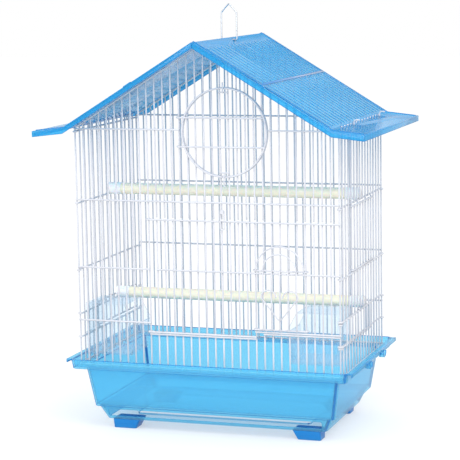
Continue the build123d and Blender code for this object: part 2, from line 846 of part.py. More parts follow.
def cup_hooks(side, back_x):
    """Two hooks of a cup that pass between the uprights of the side wall."""
    wire_top = side_sill_z + rail_r + weld_gap
    lip_x = half_x - weld_offset + rail_r + eye_clearance
    hooks = []
    for number in cup_hook_gaps:
        y = side_y(number + 0.5)
        reach = lip_x + cup_hook_t - back_x + cup_wall / 2
        centre = back_x - cup_wall / 2 + reach / 2
        arm = Pos(side * centre, y, wire_top + cup_hook_t / 2) * Box(reach, cup_hook_w, cup_hook_t)
        lip = Pos(side * (lip_x + cup_hook_t / 2), y, wire_top + cup_hook_t - cup_hook_drop / 2) * Box(
            cup_hook_t, cup_hook_w, cup_hook_drop)
        hooks += [arm, lip]
    return hooks


def hanger():
    """Wire loop whose ends turn into the roof and whose top is drawn to a point."""
    half = hanger_half_w
    low = hanger_z
    points = [(-hanger_pin_end, 0, low), (-half, 0, low), (-half, 0, low + hanger_shoulder_up),
              (-half / 2, 0, low + hanger_bar_up), (0, 0, low + hanger_tip_up),
              (half / 2, 0, low + hanger_bar_up), (half, 0, low + hanger_shoulder_up), (half, 0, low),
              (hanger_pin_end, 0, low)]
    return bent_wire(FilletPolyline(*points, radius=hanger_bend_r), hanger_d)


def main():
    """Write every sub-part."""
    os.makedirs("parts", exist_ok=True)
    write("stand_feet", stand_feet())
    write("stand_skirt", [stand_skirt()])
    write("tray", [tray()])
    write("front_uprights", front_uprights())
    write("front_rails", front_rails())
    write("front_gable_wires", gable_wires(-half_y - weld_offset))
    write("hatch_seat_ring", [hatch_seat()])
    write("back_uprights", back_uprights())
    write("back_rails", back_rails())
    write("back_gable_wires", gable_wires(half_y + weld_offset))
    sides = (("left", -1, cup_door_left_first, cup_door_left_last),
             ("right", 1, cup_door_right_first, cup_door_right_last))
    for name, side, first, last in sides:
        write(name + "_uprights", side_uprights(side, first, last))
        write(name + "_rails", side_rails(side))
        write("roof_" + name, [roof_panel(side)])
        write("cup_" + name, [cup(side)])
        write("cup_door_" + name + "_rails", cup_door_rails(side, first, last))
        write("cup_door_" + name + "_bars", cup_door_bars(side, first, last))
    write("roof_hooks", roof_hooks())
    for name, y, up in (("upper", perch_upper_y, side_rail2_up), ("lower", perch_lower_y, side_rail4_up)):
        write("perch_" + name + "_rod", [perch_rod(y, perch_z(up))])
        write("perch_" + name + "_caps", perch_caps(y, perch_z(up)))
    write("front_door_bars", front_door_bars())
    write("front_door_rails", front_door_rails())
    write("lift_door_rails", lift_door_rails())
    write("lift_door_bars", lift_door_bars())
    write("lift_door_arches", lift_door_arches())
    write("lift_door_heart", lift_door_heart())
    write("hatch_ring", [hatch_ring()])
    write("hatch_bars", hatch_bars())
    write("hatch_tabs", hatch_tabs())
    write("latch_stud", [latch_stud()])
    write("latch_link", [latch_link()])
    write("nest_door_rails", nest_door_rails())
    write("nest_door_bars", nest_door_bars())
    write("hanger", [hanger()])


if __name__ == "__main__":
    main()
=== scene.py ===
import json
import logging
import math
from dataclasses import dataclass, field
from enum import Enum, IntEnum
from typing import Any, Iterable, Sequence

import bmesh
import bpy
import numpy as np
from mathutils import Matrix, Vector


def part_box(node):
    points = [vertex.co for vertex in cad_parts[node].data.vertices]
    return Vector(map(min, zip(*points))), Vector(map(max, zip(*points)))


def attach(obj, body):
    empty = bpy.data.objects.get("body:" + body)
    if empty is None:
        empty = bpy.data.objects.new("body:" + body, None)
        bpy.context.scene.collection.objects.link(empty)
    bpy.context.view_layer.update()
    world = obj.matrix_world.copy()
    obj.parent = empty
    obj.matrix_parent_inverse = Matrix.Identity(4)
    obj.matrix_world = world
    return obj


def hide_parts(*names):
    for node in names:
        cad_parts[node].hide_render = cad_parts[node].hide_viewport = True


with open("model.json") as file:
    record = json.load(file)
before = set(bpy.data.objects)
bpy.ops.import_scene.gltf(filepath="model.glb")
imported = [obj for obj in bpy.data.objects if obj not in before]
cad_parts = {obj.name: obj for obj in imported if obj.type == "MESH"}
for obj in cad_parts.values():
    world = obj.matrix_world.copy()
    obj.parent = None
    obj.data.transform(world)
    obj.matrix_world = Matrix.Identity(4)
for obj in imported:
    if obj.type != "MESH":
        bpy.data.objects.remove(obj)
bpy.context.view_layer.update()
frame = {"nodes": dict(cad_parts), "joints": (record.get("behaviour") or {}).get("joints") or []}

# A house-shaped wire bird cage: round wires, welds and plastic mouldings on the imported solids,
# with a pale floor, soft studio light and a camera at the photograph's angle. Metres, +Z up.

MM = 0.001
log = logging.getLogger("bird_cage")


class Body(Enum):
    """The rigid bodies of the cage."""

    BASE = "base"
    CAGE = "cage"
    FRONT_DOOR = "front_door"
    LIFT_DOOR = "lift_door"
    HATCH = "hatch"
    NEST_DOOR = "nest_door"
    LEFT_CUP_DOOR = "left_cup_door"
    RIGHT_CUP_DOOR = "right_cup_door"
    LEFT_CUP = "left_cup"
    RIGHT_CUP = "right_cup"
    LATCH = "latch"
    HANGER = "hanging_loop"


class Part(IntEnum):
    """The parts of a moulding that take a finish of their own, in the order of its materials."""

    SHEET = 0
    EDGE = 1
    FLANGE = 2


class Slot(Enum):
    """The record's material slots."""

    WIRE = "wire"
    HANGER = "hanger_wire"
    ROOF = "roof_plastic"
    TRAY = "tray_plastic"
    FOOT = "foot_plastic"
    CUP = "cup_plastic"
    PERCH = "perch_plastic"
    CAP = "cap_plastic"


def linear(hex_colour: str) -> tuple[float, float, float, float]:
    """Turn an sRGB hex colour into linear RGBA.

    Args:
        hex_colour: six hex digits, such as "A0C4E8".

    Returns:
        Red, green, blue and an alpha of 1.
    """
    values = [int(hex_colour[i:i + 2], 16) / 255 for i in (0, 2, 4)]
    red, green, blue = (v / 12.92 if v <= 0.04045 else ((v + 0.055) / 1.055) ** 2.4 for v in values)
    return red, green, blue, 1.0


def add(tree: bpy.types.NodeTree, kind: str, inputs: dict[Any, Any] | None = None,
        **settings: Any) -> bpy.types.Node:
    """Add a node with its settings, input values and links.

    Args:
        tree: node tree that takes the node.
        kind: the node's type name.
        inputs: input names or numbers to values, or to the sockets that feed them.
        settings: attributes of the node itself.

    Returns:
        The new node.
    """
    node = tree.nodes.new(kind)
    for name, value in settings.items():
        setattr(node, name, value)
    for name, value in (inputs or {}).items():
        if isinstance(value, bpy.types.NodeSocket):
            tree.links.new(value, node.inputs[name])
        else:
            node.inputs[name].default_value = value
    return node


def blank(name: str) -> tuple[bpy.types.Material, bpy.types.NodeTree]:
    """Make an empty material.

    Args:
        name: the material's name.

    Returns:
        The material and its node tree, which has no nodes yet.
    """
    material = bpy.data.materials.new(name)
    material.use_nodes = True
    material.node_tree.nodes.clear()
    return material, material.node_tree


@dataclass(frozen=True)
class PowderCoat:
    """White powder coat, baked on steel wire."""

    name: str = "powder_coated_steel_wire"
    light: str = "DCDDE3"
    shade: str = "C3C5CD"
    roughness: float = 0.36
    ior: float = 1.5
    peel_mm: float = 0.9
    peel_depth_mm: float = 0.05
    peel_strength: float = 0.3
    drift_mm: float = 26.0

    def build(self) -> bpy.types.Material:
        """Satin white that drifts a little in shade, with fine orange peel that softens each highlight.

        Returns:
            The new material.
        """
        material, tree = blank(self.name)
        place = add(tree, "ShaderNodeTexCoord").outputs["Object"]
        drift = add(tree, "ShaderNodeTexNoise", {"Vector": place, "Scale": 1 / (self.drift_mm * MM)})
        colour = add(tree, "ShaderNodeMix", {0: drift.outputs["Fac"], 6: linear(self.shade),
                                             7: linear(self.light)}, data_type="RGBA")
        peel = add(tree, "ShaderNodeTexNoise", {"Vector": place, "Scale": 1 / (self.peel_mm * MM)})
        bump = add(tree, "ShaderNodeBump", {"Height": peel.outputs["Fac"], "Strength": self.peel_strength,
                                            "Distance": self.peel_depth_mm * MM})
        paint = add(tree, "ShaderNodeBsdfPrincipled", {
            "Base Color": colour.outputs[2], "Roughness": self.roughness, "IOR": self.ior,
            "Normal": bump.outputs["Normal"]})
        add(tree, "ShaderNodeOutputMaterial", {"Surface": paint.outputs["BSDF"]})
        return material


@dataclass(frozen=True)
class ZincPlate:
    """Bright zinc on drawn steel wire."""

    name: str = "zinc_plated_steel_wire"
    light: str = "D6DADF"
    shade: str = "A9AFB8"
    roughness: float = 0.27
    cloud_mm: float = 1.4

    def build(self) -> bpy.types.Material:
        """Grey metal whose plating clouds slightly, so the highlight breaks up along the wire.

        Returns:
            The new material.
        """
        material, tree = blank(self.name)
        place = add(tree, "ShaderNodeTexCoord").outputs["Object"]
        cloud = add(tree, "ShaderNodeTexNoise", {"Vector": place, "Scale": 1 / (self.cloud_mm * MM)})
        colour = add(tree, "ShaderNodeMix", {0: cloud.outputs["Fac"], 6: linear(self.shade),
                                             7: linear(self.light)}, data_type="RGBA")
        metal = add(tree, "ShaderNodeBsdfPrincipled", {
            "Base Color": colour.outputs[2], "Metallic": 1.0, "Roughness": self.roughness})
        add(tree, "ShaderNodeOutputMaterial", {"Surface": metal.outputs["BSDF"]})
        return material


@dataclass(frozen=True)
class ClearMoulding:
    """Injection-moulded polystyrene that light passes through."""

    name: str
    light: str
    shade: str
    absorb: str
    depth_mm: float
    through: str = "F1FAFF"
    skin_share: float = 0.14
    rim_share: float = 0.30
    roughness: float = 0.12
    ior: float = 1.59
    flow_mm: float = 60.0
    ripple_mm: float = 14.0
    ripple_depth_mm: float = 0.2
    ripple_strength: float = 0.08
    rim_blend: float = 0.25
    # Colour of the painted highlight strips over the roof's slats; none when empty.
    slat_highlight: str = ""
    slat_pitch_mm: float = 13.38
    slat_start_mm: float = 14.0
    slat_end_mm: float = 164.0
    slat_half_mm: float = 133.8
    slat_softness: float = 0.3

    def _painted_slat_highlights(self, tree: bpy.types.NodeTree, place: bpy.types.NodeSocket,
               sheet: bpy.types.NodeSocket) -> bpy.types.NodeSocket:
        """Brighten the strips over the roof's slats, which turn the light towards the eye.

        The strips are painted highlights, half a pitch wide, as the photograph shows them, and so wider than
        the slats.

        Args:
            tree: node tree that takes the nodes.
            place: position on the roof.
            sheet: colour of the sheet between the slats.

        Returns:
            The colour with its painted highlight strips.
        """
        axis = add(tree, "ShaderNodeSeparateXYZ", {"Vector": place})
        turns_per_m = 2 * math.pi / (self.slat_pitch_mm * MM)
        turn = add(tree, "ShaderNodeMath", {0: axis.outputs["Y"], 1: turns_per_m, 2: math.pi},
                   operation="MULTIPLY_ADD")
        wave = add(tree, "ShaderNodeMath", {0: turn.outputs[0]}, operation="COSINE")
        share = add(tree, "ShaderNodeMapRange", {"Value": wave.outputs[0], "From Min": -self.slat_softness,
                                                 "From Max": self.slat_softness})
        middle = (self.slat_start_mm + self.slat_end_mm) / 2
        for side, centre, reach in (("X", middle, middle - self.slat_start_mm),
                                    ("Y", 0.0, self.slat_half_mm)):
            off = add(tree, "ShaderNodeMath", {0: axis.outputs[side]}, operation="ABSOLUTE")
            inside = add(tree, "ShaderNodeMath", {0: off.outputs[0], 1: centre * MM, 2: reach * MM},
                         operation="COMPARE")
            share = add(tree, "ShaderNodeMath", {0: share.outputs[0], 1: inside.outputs[0]},
                        operation="MULTIPLY")
        # Painted highlight: the slat colour laid over the sheet inside the strips.
        mixed = add(tree, "ShaderNodeMix", {0: share.outputs[0], 6: sheet, 7: linear(self.slat_highlight)},
                    data_type="RGBA")
        return mixed.outputs[2]

    def build(self) -> bpy.types.Material:
        """Glossy see-through plastic, deeper in colour where it is thick, with faint flow and sink marks.

        Returns:
            The new material.
        """
        material, tree = blank(self.name)
        place = add(tree, "ShaderNodeTexCoord").outputs["Object"]
        flow = add(tree, "ShaderNodeTexNoise", {"Vector": place, "Scale": 1 / (self.flow_mm * MM)})
        colour = add(tree, "ShaderNodeMix", {0: flow.outputs["Fac"], 6: linear(self.shade),
                                             7: linear(self.light)}, data_type="RGBA").outputs[2]
        # Painted highlight strips over the roof's slats.
        if self.slat_highlight:
            colour = self._painted_slat_highlights(tree, place, colour)
        ripple = add(tree, "ShaderNodeTexNoise", {"Vector": place, "Scale": 1 / (self.ripple_mm * MM)})
        bump = add(tree, "ShaderNodeBump", {"Height": ripple.outputs["Fac"],
                                            "Strength": self.ripple_strength,
                                            "Distance": self.ripple_depth_mm * MM})
        skin = add(tree, "ShaderNodeBsdfPrincipled", {
            "Base Color": colour, "Roughness": self.roughness, "IOR": self.ior,
            "Normal": bump.outputs["Normal"]})
        clear = add(tree, "ShaderNodeBsdfTransparent", {"Color": linear(self.through)})
        rim = add(tree, "ShaderNodeLayerWeight", {"Blend": self.rim_blend})
        share = add(tree, "ShaderNodeMapRange", {"Value": rim.outputs["Facing"], "To Min": self.skin_share,
                                                 "To Max": self.skin_share + self.rim_share})
        wall = add(tree, "ShaderNodeMixShader", {0: share.outputs["Result"], 1: clear.outputs["BSDF"],
                                                 2: skin.outputs["BSDF"]})
        fill = add(tree, "ShaderNodeVolumeAbsorption", {"Color": linear(self.absorb),
                                                        "Density": 1 / (self.depth_mm * MM)})
        add(tree, "ShaderNodeOutputMaterial", {"Surface": wall.outputs["Shader"],
                                               "Volume": fill.outputs["Volume"]})
        return material


@dataclass(frozen=True)
class SatinMoulding:
    """Opaque polypropylene, extruded or moulded with a satin skin."""

    name: str
    light: str
    shade: str
    roughness: float = 0.5
    ior: float = 1.49
    streak_mm: float = 1.6
    streak_depth_mm: float = 0.08
    streak_strength: float = 0.25
    stretch: float = 0.06
    glow_share: float = 0.15
    glow_mm: float = 1.5

    def build(self) -> bpy.types.Material:
        """Waxy off-white with faint lengthwise streaks and a soft glow from just under the skin.

        Returns:
            The new material.
        """
        material, tree = blank(self.name)
        place = add(tree, "ShaderNodeTexCoord").outputs["Object"]
        along = add(tree, "ShaderNodeMapping", {"Vector": place, "Scale": (self.stretch, 1.0, 1.0)})
        streak = add(tree, "ShaderNodeTexNoise", {"Vector": along.outputs["Vector"],
                                                  "Scale": 1 / (self.streak_mm * MM)})
        colour = add(tree, "ShaderNodeMix", {0: streak.outputs["Fac"], 6: linear(self.shade),
                                             7: linear(self.light)}, data_type="RGBA")
        bump = add(tree, "ShaderNodeBump", {"Height": streak.outputs["Fac"],
                                            "Strength": self.streak_strength,
                                            "Distance": self.streak_depth_mm * MM})
        skin = add(tree, "ShaderNodeBsdfPrincipled", {
            "Base Color": colour.outputs[2], "Roughness": self.roughness, "IOR": self.ior,
            "Subsurface Weight": self.glow_share, "Subsurface Scale": self.glow_mm * MM,
            "Normal": bump.outputs["Normal"]})
        add(tree, "ShaderNodeOutputMaterial", {"Surface": skin.outputs["BSDF"]})
        return material


Finish = PowderCoat | ZincPlate | ClearMoulding | SatinMoulding

FINISHES: dict[Slot, Finish] = {
    Slot.WIRE: PowderCoat(),
    Slot.HANGER: ZincPlate(),
    # Mid blue: the wires behind show through it, and painted highlight strips lie over the slats.
    Slot.ROOF: ClearMoulding("polystyrene_roof", "2CB8F0", "22AAE6", absorb="65DDEE", depth_mm=30.0,
                             through="9ADCF4", skin_share=0.4, slat_highlight="88EAFF"),
    # Paler and clearer, so that the basin's far wall shows through its front.
    Slot.TRAY: ClearMoulding("polystyrene_tray", "90E8FF", "7CE0FF", absorb="65E0FB", depth_mm=60.0,
                             through="C2EEFC", skin_share=0.24),
    # Deep blue that hardly lets the eye through, as each foot is thick.
    Slot.FOOT: ClearMoulding("polystyrene_foot", "0094E4", "0086D8", absorb="58D2F6", depth_mm=9.0,
                             through="7CCBF0", skin_share=0.75, rim_share=0.1, roughness=0.3),
    # Nearly colourless, so that a cup is seen by its edges and reflections.
    Slot.CUP: ClearMoulding("clear_polystyrene_cup", "EEF6FB", "E2EFF8", absorb="C4E2F5", depth_mm=30.0,
                            through="FAFDFF", skin_share=0.05, roughness=0.06),
    # Cream rods, and white caps with a little more shine.
    Slot.PERCH: SatinMoulding("polypropylene_perch", "FFF8E2", "FAF0D6"),
    Slot.CAP: SatinMoulding("polypropylene_cap", "FEFEFC", "F5F6F5", roughness=0.42),
}

# Light that travels inside a clear sheet leaves it at its edges. A coloured sheet's look deeper in colour
# than its faces, and a colourless cup's look whiter.
EDGES: dict[Slot, ClearMoulding] = {
    Slot.ROOF: ClearMoulding("polystyrene_roof_edge", "0A84CC", "0474BE", absorb="65DDEE", depth_mm=30.0,
                             through="50B0E0", skin_share=0.85),
    Slot.TRAY: ClearMoulding("polystyrene_tray_edge", "0A84CC", "0474BE", absorb="65E0FB", depth_mm=30.0,
                             through="50B0E0", skin_share=0.85),
    Slot.FOOT: ClearMoulding("polystyrene_foot_edge", "0A86CC", "0478BE", absorb="58D2F6", depth_mm=9.0,
                             through="5CB4E0", skin_share=0.6),
    Slot.CUP: ClearMoulding("clear_polystyrene_cup_edge", "FFFFFF", "EFF7FC", absorb="C4E2F5",
                            depth_mm=30.0, through="D8E8F2", skin_share=0.45, roughness=0.06),
}

# The stand's flange is a thin level sheet, and the photograph shows light through the whole window.
FLANGE = ClearMoulding("polystyrene_thin_flange", "E4F5FE", "D8F0FC", absorb="65E0FB", depth_mm=90.0,
                       through="F4FBFE", skin_share=0.05, rim_share=0.12)


# Rings that round off a wire's end: how far in from the end, and how wide, both in wire radii.
END_RINGS = ((0.0, 0.45), (0.14, 0.82), (0.45, 1.0))
# A weld bead is small, so few rows and sides make it round.
BEAD_ROWS = 5
BEAD_SIDES = 8

# The middle of a ring of a wire, two directions across the wire, and its radius there.
Station = tuple[Vector, Vector, Vector, float]


@dataclass
class Solids:
    """Gathers round wires and welds into one mesh, in metres."""

    sides: int = 14
    points: list[Vector] = field(default_factory=list)
    faces: list[tuple[int, ...]] = field(default_factory=list)

    def _ring(self, centre: Vector, side: Vector, up: Vector, radius: float) -> int:
        """Add one ring of points.

        Args:
            centre: middle of the ring.
            side: first direction across the wire.
            up: second direction across the wire.
            radius: radius of the ring, in lengths of side and up.

        Returns:
            The number of its first point.
        """
        first = len(self.points)
        for i in range(self.sides):
            turn = 2 * math.pi * i / self.sides
            self.points.append(centre + (side * math.cos(turn) + up * math.sin(turn)) * radius)
        return first

    def _join(self, low: int, high: int) -> None:
        """Close the wall between two rings.

        Args:
            low: number of the first ring's first point.
            high: number of the second ring's first point.
        """
        for i in range(self.sides):
            j = (i + 1) % self.sides
            self.faces.append((low + i, low + j, high + j, high + i))

    def tube(self, path: Sequence[Vector], radius: float, closed: bool = False) -> None:
        """Add a wire along a path, with rounded ends unless it closes on itself.

        Args:
            path: points of the wire's middle line.
            radius: radius of the wire.
            closed: True for a ring, whose path doesn't repeat its first point.
        """
        count = len(path)
        runs = [(path[(i + 1) % count] - path[i]).normalized() for i in range(count if closed else count - 1)]
        tangents = []
        for i in range(count):
            before = runs[i - 1] if closed or i > 0 else runs[0]
            after = runs[i] if i < len(runs) else runs[-1]
            tangents.append((before + after).normalized())
        side = tangents[0].orthogonal().normalized()
        stations = []
        for i in range(count):
            side = (side - tangents[i] * side.dot(tangents[i])).normalized()
            stations.append((path[i], side, tangents[i].cross(side), radius))
        if not closed:
            stations = self._domed(stations, tangents[0], radius, True) + stations[1:-1] + \
                self._domed(stations, tangents[-1], radius, False)
        rings = [self._ring(*station) for station in stations]
        for low, high in zip(rings, rings[1:]):
            self._join(low, high)
        if closed:
            self._join(rings[-1], rings[0])
        else:
            self.faces.append(tuple(reversed(range(rings[0], rings[0] + self.sides))))
            self.faces.append(tuple(range(rings[-1], rings[-1] + self.sides)))

    @staticmethod
    def _domed(stations: list[Station], tangent: Vector, radius: float, start: bool) -> list[Station]:
        """Round off one end inside the wire's own length.

        Args:
            stations: the wire's rings so far.
            tangent: direction of the wire at that end.
            radius: radius of the wire.
            start: True for the first end.

        Returns:
            The rings that take the place of the end's one.
        """
        centre, side, up, _ = stations[0] if start else stations[-1]
        inward = tangent if start else -tangent
        rings = [(centre + inward * radius * back, side, up, radius * size)
                 for back, size in END_RINGS]
        return rings if start else rings[::-1]

    def blob(self, centre: Vector, radii: Vector) -> None:
        """Add a low ellipsoid, such as the bead of a weld under its paint.

        Args:
            centre: middle of the ellipsoid.
            radii: its reach along X, Y and Z.
        """
        rings = []
        keep, self.sides = self.sides, BEAD_SIDES
        for row in range(1, BEAD_ROWS):
            turn = math.pi * row / BEAD_ROWS
            size = math.sin(turn)
            level = centre + Vector((0, 0, radii.z * math.cos(turn)))
            rings.append(self._ring(level, Vector((radii.x, 0, 0)), Vector((0, radii.y, 0)), size))
        for low, high in zip(rings, rings[1:]):
            self._join(high, low)
        self.faces.append(tuple(range(rings[0], rings[0] + self.sides)))
        self.faces.append(tuple(reversed(range(rings[-1], rings[-1] + self.sides))))
        self.sides = keep

    def piece(self, name: str, body: Body, slot: Slot, nodes: Iterable[str] = ()) -> bpy.types.Object:
        """Turn what was gathered into a piece that rides on a body.

        Args:
            name: the piece's name.
            body: body that it moves with.
            slot: material slot, which also picks its finish.
            nodes: CAD nodes that it stands for.

        Returns:
            The new object.
        """
        mesh = bpy.data.meshes.new(name)
        mesh.from_pydata([tuple(p) for p in self.points], [], self.faces)
        mesh.shade_smooth()
        mesh.validate()
        return settle(bpy.data.objects.new(name, mesh), body, slot, nodes)


def settle(piece: bpy.types.Object, body: Body, slot: Slot, nodes: Iterable[str] = ()) -> bpy.types.Object:
    """Link a piece, give it its finish and body, and log it.

    Args:
        piece: new object whose mesh has no material yet.
        body: body that it moves with.
        slot: material slot, which also picks its finish.
        nodes: CAD nodes that it stands for.

    Returns:
        The same object.
    """
    bpy.context.scene.collection.objects.link(piece)
    piece.data.materials.append(made(FINISHES[slot]))
    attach(piece, body.value)
    for node in nodes:
        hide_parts(node)
    log.info("%s on %s, %d faces", piece.name, body.value, len(piece.data.polygons))
    return piece


def made(finish: Finish) -> bpy.types.Material:
    """Give a finish's material, built once."""
    return bpy.data.materials.get(finish.name) or finish.build()


# Corners nearer than MERGE are one, and a face with an edge over LONG_EDGE runs along a wire's straight
# stretch.
MERGE = 0.001 * MM
LONG_EDGE = 15 * MM


@dataclass
class Island:
    """One solid of a CAD node: its corner points and its long faces' middles, in metres."""

    corners: np.ndarray
    long_faces: np.ndarray

    @property
    def low(self) -> np.ndarray:
        """Lowest corner."""
        return self.corners.min(0)

    @property
    def high(self) -> np.ndarray:
        """Highest corner."""
        return self.corners.max(0)


def islands(node: str) -> list[Island]:
    """Split a CAD node into its separate solids, always in the order of its corners.

    The list of a solid's corners grows while it is walked, and no set is walked, since a set's order changes
    from run to run.

    Args:
        node: name of the CAD node.

    Returns:
        One island for each solid.
    """
    mesh = bmesh.new()
    mesh.from_mesh(frame["nodes"][node].data)
    bmesh.ops.remove_doubles(mesh, verts=mesh.verts, dist=MERGE)
    seen = set()
    found = []
    for first in mesh.verts:
        if first in seen:
            continue
        seen.add(first)
        members = [first]
        for vert in members:
            for edge in vert.link_edges:
                near = edge.other_vert(vert)
                if near not in seen:
                    seen.add(near)
                    members.append(near)
        faces = dict.fromkeys(face for vert in members for face in vert.link_faces)
        long_faces = [face.calc_center_median() for face in faces
                      if max(edge.calc_length() for edge in face.edges) > LONG_EDGE]
        found.append(Island(np.array([v.co for v in members]), np.array(long_faces).reshape(-1, 3)))
    mesh.free()
    return found


# A straight CAD wire is an eight-sided prism: 16 corners, and flats that lie nearer than its corners.
STRAIGHT_CORNERS = 16
FLAT_SHARE = math.cos(math.pi / 8)


@dataclass(frozen=True)
class Run:
    """A straight wire: its two ends and its radius, in metres."""

    start: Vector
    end: Vector
    radius: float


def straight_run(island: Island) -> Run:
    """Read a wire's ends and radius from its eight-sided prism.

    Args:
        island: the CAD solid of the wire.

    Returns:
        The wire as a run, with the radius of the round wire that fits inside the prism.
    """
    middle = island.corners.mean(0)
    spread = island.corners - middle
    direction = np.linalg.svd(spread, full_matrices=False)[2][0]
    along = spread @ direction
    halves = island.corners[along < 0], island.corners[along >= 0]
    ends = [Vector(half.mean(0)) for half in halves]
    reach = min(np.linalg.norm(half - half.mean(0), axis=1).mean() for half in halves)
    return Run(ends[0], ends[1], float(reach) * FLAT_SHARE)


# A curled end goes this far round its upright, in so many steps. Within END_BAND of its tip it spreads over
# at least CURL_SPREAD wire radii, which an end that isn't curled never does.
CURL_TURN = math.radians(312)
CURL_STEPS = 22
CURL_SPREAD = 3
END_BAND = 4 * MM


def curled_run(island: Island, rail_r: float) -> tuple[list[Vector], Run]:
    """Rebuild a wire whose ends curl round an upright.

    Args:
        island: the CAD solid of the wire and its eyes.
        rail_r: radius of the wire.

    Returns:
        The wire's whole path, and its straight stretch as a run.
    """
    low, high = island.low, island.high
    along = int(np.argmax(high - low))
    across = 1 - along
    level = (low[2] + high[2]) / 2
    rail_place = island.long_faces[:, across].mean()

    def point(a: float, c: float) -> Vector:
        """Place a point from its two flat coordinates."""
        spot = [0.0, 0.0, level]
        spot[along], spot[across] = a, c
        return Vector(spot)

    halves = []
    for end, travel in ((low[along], -1), (high[along], 1)):
        band = island.corners[np.abs(island.corners[:, along] - end) < END_BAND][:, across]
        if band.max() - band.min() < CURL_SPREAD * rail_r:
            halves.append([point(end, rail_place)])
            continue
        outer = (band.max() - band.min()) / 2
        centre_a, centre_c = end - travel * outer, (band.max() + band.min()) / 2
        reach = rail_place - centre_c
        turns = [CURL_TURN * i / CURL_STEPS for i in range(CURL_STEPS + 1)]
        halves.append([point(centre_a + travel * abs(reach) * math.sin(t), centre_c + reach * math.cos(t))
                       for t in turns])
    path = halves[0][::-1] + halves[1]
    return path, Run(halves[0][0], halves[1][0], rail_r)


@dataclass
class Mesh:
    """A welded group of wires on one body: round wires for its CAD nodes and beads at the crossings.

    Two wires get a bead where they cross with their surfaces within touch of each other. The bead's middle
    stands bead_rise off the rail, and it reaches bead_tall rail radii and bead_flat post radii.
    """

    name: str
    body: Body
    nodes: Sequence[str]
    rail_r: float = 1.1 * MM
    touch: float = 0.15 * MM
    bead_rise: float = 0.01 * MM
    bead_tall: float = 0.95
    bead_flat: float = 0.62
    runs: list[Run] = field(default_factory=list)

    def build(self) -> None:
        """Replace each node with round wires, then add the weld beads."""
        for node in self.nodes:
            wires = Solids()
            for island in islands(node):
                if len(island.corners) <= STRAIGHT_CORNERS:
                    run = straight_run(island)
                    wires.tube([run.start, run.end], run.radius)
                else:
                    path, run = curled_run(island, self.rail_r)
                    wires.tube(path, self.rail_r)
                self.runs.append(run)
            wires.piece(node + "_wires", self.body, Slot.WIRE, [node])
        self.weld()

    def weld(self) -> None:
        """Add a bead wherever two wires of the group cross and touch."""
        beads = Solids()
        upright = [run for run in self.runs if self._is_upright(run)]
        level = [run for run in self.runs if not self._is_upright(run)]
        for post in upright:
            for rail in level:
                self._bead(beads, post, rail)
        if beads.points:
            beads.piece(self.name + "_welds", self.body, Slot.WIRE)

    @staticmethod
    def _is_upright(run: Run) -> bool:
        """True for a wire that stands."""
        return abs(run.end.z - run.start.z) > max(abs(run.end.x - run.start.x), abs(run.end.y - run.start.y))

    def _bead(self, beads: Solids, post: Run, rail: Run) -> None:
        """Add one bead if the post and the rail touch.

        Args:
            beads: gathers the group's beads.
            post: an upright wire.
            rail: a level wire.
        """
        way = rail.end - rail.start
        foot = Vector((post.start.x, post.start.y, rail.start.z))
        share = (foot - rail.start).dot(way) / way.length_squared
        if not 0 <= share <= 1:
            return
        spot = rail.start + way * share
        low, high = sorted((post.start.z, post.end.z))
        gap = Vector((post.start.x - spot.x, post.start.y - spot.y, 0))
        if not low <= spot.z <= high or abs(gap.length - post.radius - rail.radius) > self.touch:
            return
        contact = spot + gap.normalized() * (rail.radius + self.bead_rise)
        tall = self.bead_tall * rail.radius
        flat = self.bead_flat * post.radius
        radii = Vector((tall, flat, tall)) if abs(gap.y) > abs(gap.x) else Vector((flat, tall, tall))
        beads.blob(contact, radii)


@dataclass
class Ornament:
    """The lift door's two arches and its heart of thin wire."""

    wire_r: float = 0.9 * MM
    steps: int = 40
    heart_half_w: float = 23.0 * MM
    lobe_r: float = 9.4 * MM

    @property
    def hex_reach(self) -> float:
        """From the middle line of the CAD's six-sided wire to its corners."""
        return self.wire_r / math.cos(math.pi / 6)

    def build(self) -> None:
        """Build the arches and the heart."""
        self._arches()
        self._heart()

    def _arches(self) -> None:
        """Bend each arch as a half circle between its feet."""
        wires = Solids()
        for island in islands("lift_door_arches"):
            low, high = island.low, island.high
            radius = (high[0] - low[0]) / 2 - self.hex_reach
            middle = Vector(((low[0] + high[0]) / 2, (low[1] + high[1]) / 2, low[2]))
            wires.tube([middle + Vector((math.cos(t), 0, math.sin(t))) * radius
                        for t in np.linspace(0, math.pi, self.steps)], self.wire_r)
        wires.piece("lift_door_arch_wires", Body.LIFT_DOOR, Slot.WIRE, ["lift_door_arches"])

    def _heart(self) -> None:
        """Bend the heart: two straights from its tip, each into a round lobe."""
        low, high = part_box("lift_door_heart")
        middle = Vector(((low.x + high.x) / 2, (low.y + high.y) / 2, 0))
        lobe_x = self.heart_half_w - self.lobe_r
        lobe_z = high.z - self.hex_reach - self.lobe_r
        wires = Solids()
        for side in (-1, 1):
            tip = middle + Vector((side * self.wire_r, 0, low.z + self.wire_r))
            lobe = [middle + Vector((side * (lobe_x + self.lobe_r * math.cos(t)), 0,
                                     lobe_z + self.lobe_r * math.sin(t)))
                    for t in np.linspace(0, math.pi, self.steps)]
            wires.tube([tip] + lobe, self.wire_r)
        wires.piece("lift_door_heart_wires", Body.LIFT_DOOR, Slot.WIRE, ["lift_door_heart"])


